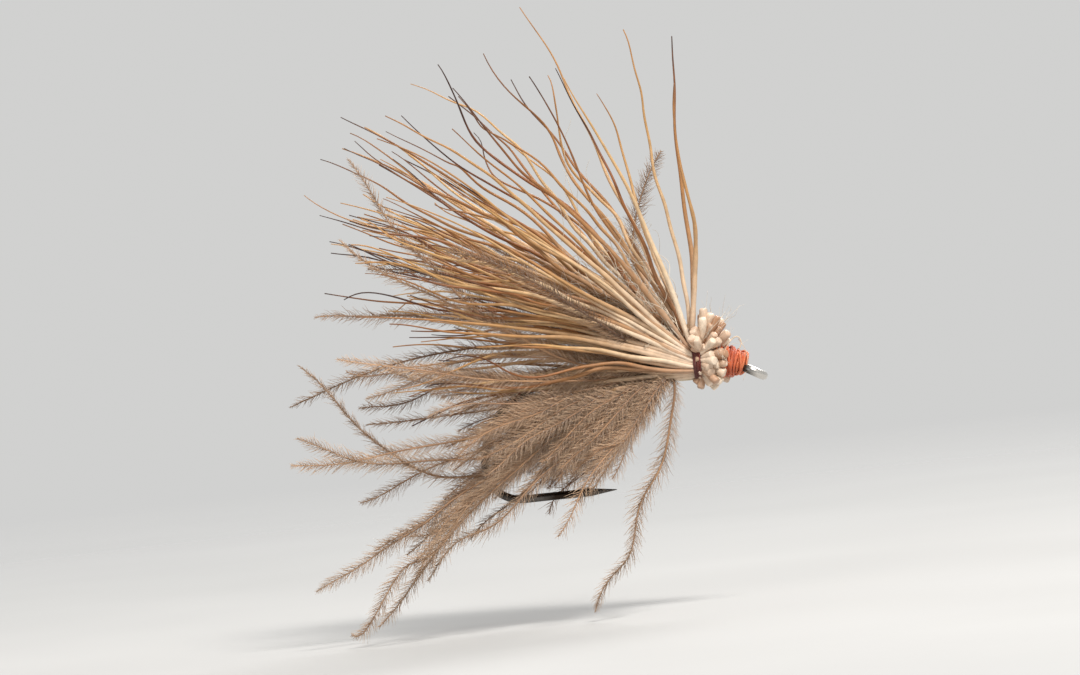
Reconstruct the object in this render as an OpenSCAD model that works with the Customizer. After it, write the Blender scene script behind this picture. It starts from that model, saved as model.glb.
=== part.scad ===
// Trout dry fly: a CDC feather body and hackle with a deer-hair wing, tied on a size 10 down-eye hook.
// Millimetres. +X is forward, towards the hook's eye, +Z is up, and the origin is the eye's centre.
// The shank lies level along X. Hair and feather fibres are swept strands, each one a solid of its own.

/* [Hook] */
// Diameter of the hook wire
wire_d = 0.46; // [0.4:0.02:0.52]
// Radius of the hole in the eye
eye_hole_r = 0.42; // [0.36:0.02:0.46]
// Downward slope of the eye
eye_slope = 30; // [20:5:35]
// Length of the level shank
shank_len = 10; // [9.8:0.1:10.3]
// Radius of the upper part of the bend
bend_r = 4.5; // [4.3:0.1:4.6]
// Radius of the lower part of the bend
heel_r = 2.0; // [1.9:0.1:2.1]
// Length of the straight leg that carries the point
leg_len = 3.9; // [3.5:0.1:4.2]
// Length of the ground point
point_len = 1.5; // [1.2:0.1:1.8]
// Height of the micro barb above the wire
barb_rise = 0.07; // [0.05:0.01:0.08]

/* [Thread] */
// Diameter of one turn of tying thread
thread_d = 0.15; // [0.12:0.01:0.16]
// Thickness of the thread laid along the shank
base_t = 0.08; // [0.06:0.01:0.1]
// Turns that bind the wing
wing_turns = 4; // [3:1:5]
// Turns in the cone of the head
head_turns = 4; // [3:1:5]
// Turns in the whip finish
whip_turns = 4; // [3:1:4]

/* [CDC feather] */
// Radius of the wound body at its thickest
body_r = 0.8; // [0.7:0.05:0.85]
// Turns of the wound body
body_turns = 11; // [9:1:13]
// Radius of a feather barb at its root
barb_r = 0.07; // [0.06:0.01:0.08]
// Barbs in the skirt on each side of the hook
skirt_barbs = 12; // [8:1:12]

/* [Deer hair] */
// Radius of the bundle where the thread grips it
waist_r = 0.98; // [0.94:0.01:1]
// Places for hairs across the bundle, before the shank takes its own
hair_places = 108; // [84:4:112]
// Radius of a hair where the thread crushes it
hair_waist_r = 0.05; // [0.045:0.001:0.055]
// Radius of a hair at its thickest
hair_r = 0.12; // [0.1:0.01:0.13]
// Radius of a clipped butt
butt_r = 0.13; // [0.11:0.01:0.14]
// Spread of the wing to each side, seen from above
side_spread = 25; // [20:1:28]

/* [Hidden] */
$fn = 48;

wire_r = wire_d / 2;
eye_r = eye_hole_r + wire_r * 0.87;             // centreline of the eye's ring
eye_wire_r = wire_r * 1.12;                     // the ring is a touch fuller than the neck it meets
neck_r = 1.75;                                  // bend between the eye and the shank
neck_x = -eye_r * cos(eye_slope) - neck_r * sin(eye_slope);
shank_z = eye_r * sin(eye_slope) + neck_r * (1 - cos(eye_slope));
bend_x = neck_x - shank_len;
leg_z = shank_z - bend_r - heel_r;
heel_x = bend_x - bend_r + heel_r;
base_r = wire_r + base_t;

waist_x = -3.2;                                 // where the thread grips the wing
waist_z = shank_z + 0.35;                       // the bundle sits high on the shank
body_front = -4.5;
body_back = -10.7;
head_x = -1.86;                                 // back of the thread head

// ---------- strands ----------

function unit(v) = v / norm(v);
function quad_curve(a, c, b, t) = (1 - t) * (1 - t) * a + 2 * t * (1 - t) * c + t * t * b;
function cubic_curve(a, c, d, b, t) =
    pow(1 - t, 3) * a + 3 * t * pow(1 - t, 2) * c + 3 * t * t * (1 - t) * d + pow(t, 3) * b;

// A quadratic curve from a to b that passes through m half way.
function curve_through(a, m, b, t) = quad_curve(a, 2 * m - (a + b) / 2, b, t);

// A direction square to the strand's chord, so that no ring of the sweep turns over.
function side_of(path) =
    let (chord = unit(path[len(path) - 1] - path[0]))
    unit(cross(chord, abs(chord[2]) < 0.8 ? [0, 0, 1] : [1, 0, 0]));

function ring(path, radii, sides, i) =
    let (
        last = len(path) - 1,
        along = unit(path[min(i + 1, last)] - path[max(i - 1, 0)]),
        up = unit(cross(along, side_of(path))),
        across = cross(up, along),
        step = 360 / sides
    )
    [for (j = [0:sides - 1]) path[i] + radii[i] * (cos(step * j) * across + sin(step * j) * up)];

function strand_points(path, radii, sides) =
    [for (i = [0:len(path) - 1]) each ring(path, radii, sides, i)];

function strand_faces(rings, sides, first) = concat(
    [for (i = [0:rings - 2], j = [0:sides - 1])
        let (a = first + i * sides + j, b = first + i * sides + (j + 1) % sides)
        each [[a, b, b + sides], [a, b + sides, a + sides]]],
    [for (j = [1:sides - 2]) [first, first + j + 1, first + j]],
    [for (j = [1:sides - 2])
        let (e = first + (rings - 1) * sides)
        [e, e + j, e + j + 1]]
);

// Draws every strand of a list as its own closed solid. A strand is [path, radii], all of one length.
module strands(list, sides) {
    rings = len(list[0][0]);
    polyhedron(
        points = [for (s = list) each strand_points(s[0], s[1], sides)],
        faces = [for (k = [0:len(list) - 1]) each strand_faces(rings, sides, k * rings * sides)]
    );
}

// ---------- hook ----------

// Places a shape that is drawn up +Z so that it runs along +X from the given point.
module along_x(x, z) {
    translate([x, 0, z]) rotate([0, 90, 0]) children();
}

// An arc of wire in the XZ plane about a centre, from one angle to another, measured from +X towards +Z.
module wire_arc(cx, cz, r, from, to) {
    translate([cx, 0, cz]) rotate([90, 0, 0]) rotate([0, 0, from])
        rotate_extrude(angle = to - from) translate([r, 0]) circle(r = wire_r);
}

module eye() {
    rotate([0, eye_slope, 0]) difference() {
        rotate_extrude() translate([eye_r, 0]) circle(r = eye_wire_r);
        cylinder(r = eye_hole_r, h = 2, center = true);
    }
}

// The wire is a hundredth of a millimetre fuller where the neck starts to bend. The neck and the shank
// both end inside that short length, so that they join soundly.
module hook() {
    joint = 0.3;
    color("#4a4038") union() {
        eye();
        wire_arc(neck_x, shank_z - neck_r, neck_r, 90 - eye_slope, 88);
        along_x(neck_x - joint / 2, shank_z) cylinder(r = wire_r * 1.05, h = joint);
        along_x(bend_x, shank_z) cylinder(r = wire_r, h = shank_len - joint / 6);
        wire_arc(bend_x, shank_z - bend_r, bend_r, 90, 180);
        wire_arc(heel_x, shank_z - bend_r, heel_r, 180, 270);
        along_x(heel_x, leg_z) cylinder(r = wire_r, h = leg_len);
        along_x(heel_x + leg_len, leg_z) cylinder(r1 = wire_r, r2 = 0.02, h = point_len);
        along_x(heel_x + leg_len - 0.35, leg_z + barb_rise) cylinder(r1 = wire_r, r2 = 0.1, h = 0.6);
    }
}

// ---------- thread ----------

// Turns of thread side by side around an axis along X at height z, bedded on a sleeve of radius inner.
module turns(x, z, inner, count, pitch) {
    along_x(x, z) rotate_extrude() union() {
        translate([inner, -thread_d * 0.3]) square([thread_d * 0.5, pitch * (count - 1) + thread_d * 0.6]);
        for (i = [0:count - 1]) translate([inner + thread_d * 0.5, i * pitch]) circle(d = thread_d, $fn = 24);
    }
}

module thread_base() {
    color("#8a3b22") difference() {
        along_x(bend_x + 0.2, shank_z) cylinder(r = base_r, h = shank_len - 0.2);
        along_x(bend_x, shank_z) cylinder(r = wire_r, h = shank_len + 1);
    }
}

module rear_tie_in() {
    color("#9a4225") turns(body_back - 0.42, shank_z, base_r, 4, 0.12);
}

module cdc_tie_off() {
    color("#9a4225") turns(body_front + 0.12, shank_z, base_r, 4, 0.12);
}

module wing_lashing() {
    color("#6e2a1c") turns(waist_x - thread_d * (wing_turns - 1) * 0.45, waist_z, waist_r + 0.09,
        wing_turns, thread_d * 0.9);
}

// A short cone of thread turns along X, on an axis raised above the wire, with a round hole for the wire.
module cone_of_turns(length, back, front, count, raise, hole) {
    difference() {
        translate([0, 0, raise]) rotate([0, 90, 0]) rotate_extrude() union() {
            polygon([[0, 0], [back, 0], [front, length], [0, length]]);
            for (i = [0:count - 1])
                let (s = (i + 0.5) / count)
                translate([back + (front - back) * s, length * s]) circle(d = thread_d * 1.2, $fn = 24);
        }
        rotate([0, 90, 0]) cylinder(r = hole, h = length * 4, center = true);
    }
}

// The head climbs over the clipped butts, so its axis lies above the shank.
module head_wraps() {
    color("#c4502e") translate([head_x, 0, shank_z])
        cone_of_turns(neck_x - head_x, 0.84, 0.74, head_turns, 0.22, base_r);
}

// The whip finish sits on the bend of the neck, tilted half way towards the eye.
module whip_finish() {
    half = eye_slope / 2;
    gap = 0.03;
    color("#d4603a") translate([neck_x + neck_r * sin(half), 0, shank_z - neck_r * (1 - cos(half))])
        rotate([0, half, 0]) translate([-neck_r * sin(half) + gap, 0, 0])
            cone_of_turns(0.74, 0.72, 0.42, whip_turns, 0.12, wire_r + 0.045);
}

// ---------- CDC feather ----------

// Radius of the wound body at a station from 0 at the back to 1 at the front.
function body_radius(s) = body_r * (0.62 + 0.38 * sin(200 * s)) + 0.06 * abs(sin(180 * body_turns * s));

module cdc_body() {
    steps = body_turns * 6;
    color("#9c8873") along_x(body_back, shank_z) rotate_extrude() polygon(concat(
        [for (i = [0:steps]) [body_radius(i / steps), (body_front - body_back) * i / steps]],
        [[base_r, body_front - body_back], [base_r, 0]]
    ));
}

// The trimmed end of the feather's quill, under the shank.
module cdc_stem() {
    stem_r = 0.11;
    color("#c9b79d") along_x(body_front + thread_d, shank_z - base_r - stem_r - 0.16)
        cylinder(r1 = stem_r, r2 = stem_r * 0.8, h = 1.9);
}

// A barb leaves the body at station x, at an angle round the shank from straight down, and runs
// through a middle point to its tip. Negative angles are on the near side, at -Y.
function barb(x, angle, middle, tip) =
    let (
        out = body_radius((x - body_back) / (body_front - body_back)) - 0.02,
        root = [x, out * sin(angle), shank_z - out * cos(angle)],
        rings = 8
    )
    [
        [for (i = [0:rings - 1]) curve_through(root, middle, tip, pow(i / (rings - 1), 1.2))],
        [for (i = [0:rings - 1]) barb_r * (1 - 0.62 * i / (rings - 1))]
    ];

module cdc_barbs_near_trailing() {
    color("#a8957f") strands([
        barb(-5.0, -105, [-14.0, -4.4, 4.0], [-21.8, -5.5, 14.4]),
        barb(-5.4, -95, [-15.2, -3.6, 4.6], [-22.6, -4.2, 9.9]),
        barb(-5.8, -88, [-13.6, -3.3, 2.3], [-22.3, -3.8, 1.1]),
        barb(-6.2, -80, [-13.4, -2.9, 0.9], [-20.6, -2.9, 2.2]),
        barb(-6.6, -72, [-12.6, -3.5, -0.2], [-18.7, -5.2, -0.4]),
        barb(-7.0, -85, [-14.2, -4.4, 1.1], [-23.4, -6.4, 3.4])
    ], 4);
}

module cdc_barbs_near_drooping() {
    color("#a8957f") strands([
        barb(-4.7, -52, [-5.7, -2.8, -4.0], [-10.3, -3.4, -12.6]),
        barb(-7.4, -58, [-15.8, -3.0, -1.9], [-27.0, -3.4, -2.6]),
        barb(-7.8, -52, [-16.5, -3.6, -3.2], [-26.3, -4.4, -1.2]),
        barb(-8.2, -46, [-17.4, -2.9, -4.2], [-26.0, -2.6, 3.5]),
        barb(-8.6, -42, [-15.9, -3.3, -4.4], [-25.9, -3.7, -9.8]),
        barb(-9.0, -36, [-16.3, -3.9, -5.4], [-24.6, -4.6, -12.6]),
        barb(-6.8, -44, [-14.6, -5.0, -4.3], [-22.8, -6.4, -12.0]),
        barb(-5.6, -40, [-12.4, -4.3, -4.4], [-19.9, -5.4, -9.7])
    ], 4);
}

module cdc_barbs_far_trailing() {
    color("#94836f") strands([
        barb(-5.2, 95, [-13.5, 3.4, 4.2], [-24.8, 4.2, 5.5]),
        barb(-5.8, 86, [-15.4, 4.3, 2.9], [-26.7, 5.6, 0.6]),
        barb(-6.4, 78, [-14.4, 3.0, 1.0], [-23.6, 3.4, 2.4]),
        barb(-7.0, 88, [-13.4, 4.9, 4.8], [-21.2, 7.4, 8.2]),
        barb(-7.6, 74, [-13.8, 3.9, -0.6], [-22.4, 5.4, -1.0])
    ], 4);
}

module cdc_barbs_far_drooping() {
    color("#94836f") strands([
        barb(-5.0, 50, [-7.2, 3.3, -2.9], [-11.0, 4.8, -6.2]),
        barb(-5.8, 44, [-11.0, 4.6, -3.6], [-17.4, 6.2, -8.2]),
        barb(-7.4, 52, [-14.6, 3.3, -2.6], [-23.8, 3.8, -5.2]),
        barb(-8.0, 44, [-15.4, 4.0, -3.9], [-22.6, 5.2, -8.6]),
        barb(-8.8, 38, [-15.0, 3.0, -4.0], [-21.0, 3.2, -10.4])
    ], 4);
}

module cdc_barbs_over_wing() {
    color("#94836f") strands([
        barb(-4.9, 112, [-6.0, 5.2, 7.4], [-3.9, 8.3, 13.0]),
        barb(-5.4, 104, [-10.4, 5.6, 5.4], [-14.8, 8.8, 9.0]),
        barb(-5.2, -112, [-11.6, -6.2, 6.2], [-16.6, -8.6, 8.8])
    ], 4);
}

// Short barbs that veil one side of the gape. They stand clear of the space between shank and point.
module skirt(side) {
    jitter = rands(-1, 1, skirt_barbs * 3, side > 0 ? 41 : 17);
    color("#8d7c69") strands([
        for (k = [0:skirt_barbs - 1])
            let (
                s = k / (skirt_barbs - 1),
                x = -4.75 - 4.4 * s,
                reach = 5.2 + 2.4 * s + 0.8 * jitter[3 * k],
                drop = 4.9 + 0.8 * sin(180 * s) - 2.6 * s * s + 0.6 * jitter[3 * k + 1],
                out = 2.9 + 0.35 * (k % 3) + 0.25 * jitter[3 * k + 2]
            )
            barb(x, side * (62 - 24 * s), [x - reach * 0.42, side * out, shank_z - drop * 0.46],
                [x - reach, side * (out + 0.7), shank_z - drop])
    ], 4);
}

module cdc_skirt_near() {
    skirt(-1);
}

module cdc_skirt_far() {
    skirt(1);
}

// ---------- deer hair ----------

// Places across the bundle in a sunflower pattern, as [y, z] from -1 to 1. The shank, its thread and
// the quill under it keep their own room.
bundle = [
    for (k = [0:hair_places - 1])
        let (r = sqrt((k + 0.5) / hair_places), p = [r * cos(137.508 * k), r * sin(137.508 * k)])
        if (norm([p[0], p[1] - (shank_z - waist_z) / waist_r]) * waist_r > base_r + hair_waist_r + 0.03
            && !(abs(p[0]) < 0.3 && p[1] < -0.5)) p
];
wave = rands(-1, 1, hair_places * 5, 7);

// How high a hair stands behind the lashing: low hairs trail along the body, most of the wing lies
// in the middle, and a few topmost hairs stand up.
function hair_rise(w) = lookup(w, [
    [-1, -12], [-0.5, 5], [-0.1, 17], [0.3, 31], [0.55, 46], [0.8, 70], [0.895, 83], [0.915, 94], [1, 96]
]);

// How far the tips reach from the lashing at each rise.
function hair_reach(rise) = lookup(rise, [
    [-12, 16.5], [0, 17.5], [12, 19.5], [25, 24], [38, 25.5], [50, 22.5], [70, 22.6], [84, 18.8], [95, 18.6]
]);

function hair_direction(rise, side) = [-cos(rise) * cos(side), sin(side), sin(rise) * cos(side)];

// The trailing part of a hair: it kinks up out of the lashing, then bows backwards to its tip.
function hair_tail(k, t) =
    let (
        u = bundle[k][0],
        w = bundle[k][1],
        rise = hair_rise(w) + 0.8 * wave[5 * k],
        side = side_spread * u * (1 + 0.04 * wave[5 * k + 1]),
        reach = hair_reach(rise) * (0.9 + 0.09 * wave[5 * k + 2] - 0.12 * pow(abs(wave[5 * k + 3]), 3)),
        start = [waist_x - 0.22, waist_r * u, waist_z + waist_r * w],
        tip = start + reach * hair_direction(rise, side),
        bow = 5 + 3 * sin(rise),
        swing = 0.5 * sin(330 * t + 180 * wave[5 * k + 4]) * pow(t, 1.4)
    )
    cubic_curve(
        start,
        start + [-0.1 - 0.45 * cos(rise), 0.1 * u, 0.1 * w + 0.3 * sin(rise)],
        start + reach * 0.45 * hair_direction(rise + bow, side * 1.1),
        tip, t
    ) + swing * [sin(rise), 0.5 * wave[5 * k + 1], cos(rise)];

// The clipped butt in front of the lashing: outer hairs flare steeply, inner ones lean forwards.
function hair_butt(k, t) =
    let (
        u = bundle[k][0],
        w = bundle[k][1],
        rho = norm([u, w]),
        uneven = 1 + 0.05 * wave[5 * k + 3],
        flare = (0.95 + 1.45 * rho) * (1 + (w > 0 ? 0.26 : 0.3) * w / rho) * uneven,
        lean = 0.75 + 1.2 * (1 - rho * rho) + 0.12 * wave[5 * k],
        start = [waist_x + 0.22, waist_r * u, waist_z + waist_r * w],
        end = [waist_x + lean, flare * u / rho, waist_z + flare * w / rho]
    )
    quad_curve(start, start + [0.2, 0.12 * u, 0.12 * w], end, t);

// A hair is crushed thin at the lashing, swells to its full thickness and tapers to a fine tip.
function hair_thickness(s) = s < 0.5
    ? hair_waist_r + (hair_r - hair_waist_r) * pow(s / 0.5, 1.7)
    : hair_r * (1 - 0.85 * pow((s - 0.5) / 0.5, 1.2));

function hair(k) =
    let (last = 8)
    [
        concat(
            [for (t = [1, 0.6, 0.25, 0]) hair_butt(k, t)],
            [for (i = [0:last]) hair_tail(k, pow(i / last, 1.5))]
        ),
        concat(
            [butt_r, butt_r * 0.72, hair_waist_r * 1.1, hair_waist_r],
            [for (i = [0:last]) hair_thickness(i / last)]
        )
    ];

// The hairs whose rise lies between two values, on one side of the wing: -1 near, 1 far, 0 both.
module hair_group(low, high, side, tint) {
    color(tint) strands([
        for (k = [0:len(bundle) - 1])
            let (rise = hair_rise(bundle[k][1]))
            if (rise >= low && rise < high && (side == 0 || side * bundle[k][0] > 0)) hair(k)
    ], 5);
}

module wing_hair_upright() {
    hair_group(66, 100, 0, "#dcb98a");
}

module wing_hair_upper_near() {
    hair_group(42, 66, -1, "#d9b07a");
}

module wing_hair_upper_far() {
    hair_group(42, 66, 1, "#d9b07a");
}

module wing_hair_mid_near() {
    hair_group(16, 42, -1, "#cf9c63");
}

module wing_hair_mid_far() {
    hair_group(16, 42, 1, "#cf9c63");
}

module wing_hair_low_near() {
    hair_group(-20, 16, -1, "#c8935c");
}

module wing_hair_low_far() {
    hair_group(-20, 16, 1, "#c8935c");
}

// Fine downy fibres that stand among the bases of the hairs.
module wing_underfur() {
    fibres = 14;
    drift = rands(-1, 1, fibres * 2, 23);
    color("#a39686") strands([
        for (k = [0:fibres - 1])
            let (
                rise = 12 + 62 * k / (fibres - 1) + 2 * drift[2 * k],
                side = 21 * sin(137.5 * k),
                start = [waist_x, 0, waist_z] + 1.6 * hair_direction(rise, side * 1.6),
                reach = 7 + 2.5 * drift[2 * k + 1]
            )
            [
                [for (i = [0:7])
                    start + reach * i / 7 * hair_direction(rise + 1, side)
                        + 0.14 * sin(150 * i + 90 * k) * [0, 1, 0.6]],
                [for (i = [0:7]) 0.028 - 0.0015 * i]
            ]
    ], 4);
}

hook();
thread_base();
rear_tie_in();
cdc_body();
cdc_stem();
cdc_tie_off();
cdc_barbs_near_trailing();
cdc_barbs_near_drooping();
cdc_barbs_far_trailing();
cdc_barbs_far_drooping();
cdc_barbs_over_wing();
cdc_skirt_near();
cdc_skirt_far();
wing_hair_upright();
wing_hair_upper_near();
wing_hair_upper_far();
wing_hair_mid_near();
wing_hair_mid_far();
wing_hair_low_near();
wing_hair_low_far();
wing_underfur();
wing_lashing();
head_wraps();
whip_finish();
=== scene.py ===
"""Looks for the dry fly: every hair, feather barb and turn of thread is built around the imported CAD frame.

Shapes are worked out in millimetres, in the frame's own axes, and become metres as each mesh is made.
"""

import math

import bpy
import numpy as np
from mathutils import Matrix, Vector


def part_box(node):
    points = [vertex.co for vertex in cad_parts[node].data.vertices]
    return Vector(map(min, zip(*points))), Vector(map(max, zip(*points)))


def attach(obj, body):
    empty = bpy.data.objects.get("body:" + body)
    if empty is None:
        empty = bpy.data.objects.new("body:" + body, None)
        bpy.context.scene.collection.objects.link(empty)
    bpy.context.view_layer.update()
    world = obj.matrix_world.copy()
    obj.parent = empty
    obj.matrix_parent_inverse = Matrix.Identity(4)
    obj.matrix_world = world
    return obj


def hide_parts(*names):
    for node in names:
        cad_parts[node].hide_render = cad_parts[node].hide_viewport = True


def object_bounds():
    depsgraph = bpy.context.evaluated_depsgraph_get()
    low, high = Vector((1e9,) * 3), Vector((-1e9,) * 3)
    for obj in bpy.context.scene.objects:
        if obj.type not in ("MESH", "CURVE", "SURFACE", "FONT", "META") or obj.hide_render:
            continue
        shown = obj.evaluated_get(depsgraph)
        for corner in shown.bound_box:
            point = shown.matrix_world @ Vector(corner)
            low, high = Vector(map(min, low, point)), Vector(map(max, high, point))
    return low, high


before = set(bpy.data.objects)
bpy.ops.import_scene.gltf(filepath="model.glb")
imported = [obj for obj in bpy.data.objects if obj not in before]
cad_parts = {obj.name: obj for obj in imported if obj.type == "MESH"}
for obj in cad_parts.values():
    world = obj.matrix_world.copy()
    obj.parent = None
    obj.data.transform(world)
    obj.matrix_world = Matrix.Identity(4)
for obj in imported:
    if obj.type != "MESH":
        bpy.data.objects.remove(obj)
CAD_BOX = [list(corner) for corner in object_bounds()]

MM = 0.001
TURN = 2 * math.pi
RNG = np.random.default_rng(718)


# ---------- reading the CAD strands ----------

RING_NEIGHBOURS = 6             # of a point along a CAD strand; most points of an end cap have fewer
CAP_ACROSS = 1                  # no end cap is wider than this, and no strand is shorter


def read_mesh(node):
    """Merged vertices in millimetres, and the neighbours of each, of one CAD node."""
    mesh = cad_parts[node].data
    co = np.empty(len(mesh.vertices) * 3)
    mesh.vertices.foreach_get("co", co)
    co = np.round(co.reshape(-1, 3) / MM, 4)
    points, key = np.unique(co, axis=0, return_inverse=True)
    key = key.reshape(-1)
    ends = np.empty(len(mesh.edges) * 2, int)
    mesh.edges.foreach_get("vertices", ends)
    near = [set() for _ in points]
    for a, b in key[ends].reshape(-1, 2):
        if a != b:
            near[a].add(b)
            near[b].add(a)
    return points, near


def parts_of(near):
    """The connected parts of a mesh, as lists of vertices."""
    left = set(range(len(near)))
    parts = []
    while left:
        part = [left.pop()]
        for v in part:
            fresh = near[v] & left
            left -= fresh
            part.extend(fresh)
        parts.append(part)
    return parts


def read_strands(node):
    """The centreline of each strand of a CAD node in millimetres, thick end first."""
    points, near = read_mesh(node)
    paths = []
    for part in parts_of(near):
        low = [v for v in part if len(near[v]) < RING_NEIGHBOURS]
        cap = [v for v in low if np.linalg.norm(points[v] - points[low[0]]) < CAP_ACROSS]
        # the cap is fanned out from one corner, which has more neighbours and is missed above
        cap += [v for v in part if v not in cap and all(c in near[v] for c in cap)]
        rings, seen = [cap], set(cap)
        while True:
            following = {n for v in rings[-1] for n in near[v]} - seen
            if not following:
                break
            rings.append(list(following))
            seen |= following
        path = np.array([points[ring].mean(0) for ring in rings])
        radii = [np.linalg.norm(points[ring] - c, axis=1).mean() for ring, c in zip(rings, path)]
        paths.append(path[::-1] if radii[0] < radii[-1] else path)
    paths.sort(key=lambda path: tuple(path[0]))
    return paths


def mid_box(node):
    """The lowest corner, the highest corner and the middle of a CAD node in millimetres."""
    low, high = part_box(node)
    low, high = np.array(low) / MM, np.array(high) / MM
    return low, high, (low + high) / 2


# ---------- curves ----------

def unit(v):
    return v / np.maximum(np.linalg.norm(v, axis=-1, keepdims=True), 1e-12)


def chord(path):
    """Distance along a path at each of its points."""
    return np.concatenate([[0], np.cumsum(np.linalg.norm(np.diff(path, axis=0), axis=1))])


def spline(knots, values, where):
    """Natural cubic spline of values (n, m) over knots (n,), read at where."""
    n = len(knots)
    h = np.diff(knots)
    a = np.zeros((n, n))
    b = np.zeros((n, values.shape[1]))
    a[0, 0] = a[-1, -1] = 1
    for i in range(1, n - 1):
        a[i, i - 1:i + 2] = h[i - 1], 2 * (h[i - 1] + h[i]), h[i]
        b[i] = 6 * ((values[i + 1] - values[i]) / h[i] - (values[i] - values[i - 1]) / h[i - 1])
    m = np.linalg.solve(a, b)
    i = np.clip(np.searchsorted(knots, where) - 1, 0, n - 2)
    left, right = (knots[i + 1] - where)[:, None], (where - knots[i])[:, None]
    hi = h[i][:, None]
    return ((m[i] * left ** 3 + m[i + 1] * right ** 3) / (6 * hi)
            + (values[i] / hi - m[i] * hi / 6) * left
            + (values[i + 1] / hi - m[i + 1] * hi / 6) * right)


def waves(where, count, low, high):
    """Smooth seeded wander along a strand, (n, 3), about one in size; wavelengths in millimetres."""
    out = np.zeros((len(where), 3))
    for _ in range(count):
        length = RNG.uniform(low, high)
        out += (RNG.normal(size=3) / math.sqrt(count)
                * np.sin(TURN * where[:, None] / length + RNG.uniform(0, TURN, 3)))
    return out


# ---------- meshes ----------

def level(path):
    """Leaves a path along X as it is, where a tilted piece would place it."""
    return path


class Batch:
    """Collects round strands and makes one mesh of them, with 'along' and 'tone' on every vertex."""

    def __init__(self):
        self.co, self.along, self.tone = [], [], []
        self.loops, self.sizes = [], []
        self.count = 0

    def add_faces(self, faces):
        faces = np.asarray(faces).reshape(-1, np.asarray(faces).shape[-1])
        self.loops.append(faces.ravel())
        self.sizes.append(np.full(len(faces), faces.shape[1]))

    def tubes(self, paths, radii, along, tone, sides):
        """paths (S, n, 3) and radii (S, n) in millimetres, along (S, n), tone (S,) or (S, n)."""
        paths = np.asarray(paths, float)
        s, n = paths.shape[:2]
        tangent = unit(np.gradient(paths, axis=1))
        # each ring's first direction is carried on from the ring before, so that no tube twists
        guess = np.where(np.abs(tangent[:, :1, 2:]) < 0.9, [[[0, 0, 1.0]]], [[[1.0, 0, 0]]])
        normal = np.empty_like(paths)
        normal[:, 0] = unit(np.cross(tangent[:, 0], guess[:, 0]))
        for i in range(1, n):
            carried = normal[:, i - 1]
            flat = carried - (carried * tangent[:, i]).sum(-1, keepdims=True) * tangent[:, i]
            normal[:, i] = unit(flat)
        binormal = np.cross(tangent, normal)
        turn = TURN * np.arange(sides) / sides
        round_it = (np.cos(turn)[:, None] * normal[:, :, None]
                    + np.sin(turn)[:, None] * binormal[:, :, None])
        co = paths[:, :, None] + np.asarray(radii)[:, :, None, None] * round_it
        base = self.count + (np.arange(s) * n * sides)[:, None, None]
        i = (np.arange(n - 1) * sides)[None, :, None]
        j = np.arange(sides)[None, None, :]
        k = (j + 1) % sides
        near, far = base + i, base + i + sides
        self.add_faces(np.stack([near + j, near + k, far + k, far + j], -1))
        self.add_faces(base[:, 0] + np.arange(sides)[::-1])
        self.add_faces(base[:, 0] + (n - 1) * sides + np.arange(sides))
        tone = np.asarray(tone, float).reshape(s, -1)
        self.co.append(co.reshape(-1, 3))
        self.along.append(np.repeat(np.broadcast_to(along, (s, n)).ravel(), sides))
        self.tone.append(np.repeat(np.broadcast_to(tone, (s, n)).ravel(), sides))
        self.count += s * n * sides

    def core(self, xs, radii, centre_z, sides=32, along=0.3, place=level):
        """A closed turned core along X, which place may tilt."""
        path = place(np.stack([xs, np.zeros_like(xs), np.full_like(xs, centre_z)], -1))
        self.tubes(path[None], np.asarray(radii)[None], np.full((1, len(xs)), along), [0.5], sides)

    def mesh(self, name):
        mesh = bpy.data.meshes.new(name)
        co = np.concatenate(self.co) * MM
        loops, sizes = np.concatenate(self.loops), np.concatenate(self.sizes)
        mesh.vertices.add(len(co))
        mesh.vertices.foreach_set("co", co.ravel())
        mesh.loops.add(len(loops))
        mesh.loops.foreach_set("vertex_index", loops.astype(np.int32))
        mesh.polygons.add(len(sizes))
        starts = np.concatenate([[0], np.cumsum(sizes)[:-1]])
        mesh.polygons.foreach_set("loop_start", starts.astype(np.int32))
        mesh.update(calc_edges=True)
        mesh.validate()
        for key, values in (("along", self.along), ("tone", self.tone)):
            layer = mesh.attributes.new(key, "FLOAT", "POINT")
            layer.data.foreach_set("value", np.concatenate(values).astype(np.float32))
        mesh.polygons.foreach_set("use_smooth", np.ones(len(sizes), bool))
        return mesh

    def piece(self, name, material, slot, node=None):
        """Makes the piece, which rides on the one body and stands for a CAD node if one is named."""
        mesh = self.mesh(name)
        mesh.materials.append(material)
        piece = bpy.data.objects.new(name, mesh)
        bpy.context.scene.collection.objects.link(piece)
        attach(piece, "root")
        if node:
            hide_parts(node)


def strand_piece(name, made, sides, material, slot, node=None):
    """One piece of many strands (points, radii, along), each with a tone of its own."""
    points, radii, along = (np.array(x) for x in zip(*made))
    batch = Batch()
    batch.tubes(points, radii, along, RNG.random(len(made)), sides)
    batch.piece(name, material, slot, node)


# ---------- materials ----------

def srgb(r, g, b):
    """A colour given as 0-255 sRGB, as linear RGBA."""
    lin = [c / 255 / 12.92 if c <= 10 else ((c / 255 + 0.055) / 1.055) ** 2.4 for c in (r, g, b)]
    return (*lin, 1.0)


NOISE_SPAN = (0.3, 0.7)         # what a noise texture mostly keeps to


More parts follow.
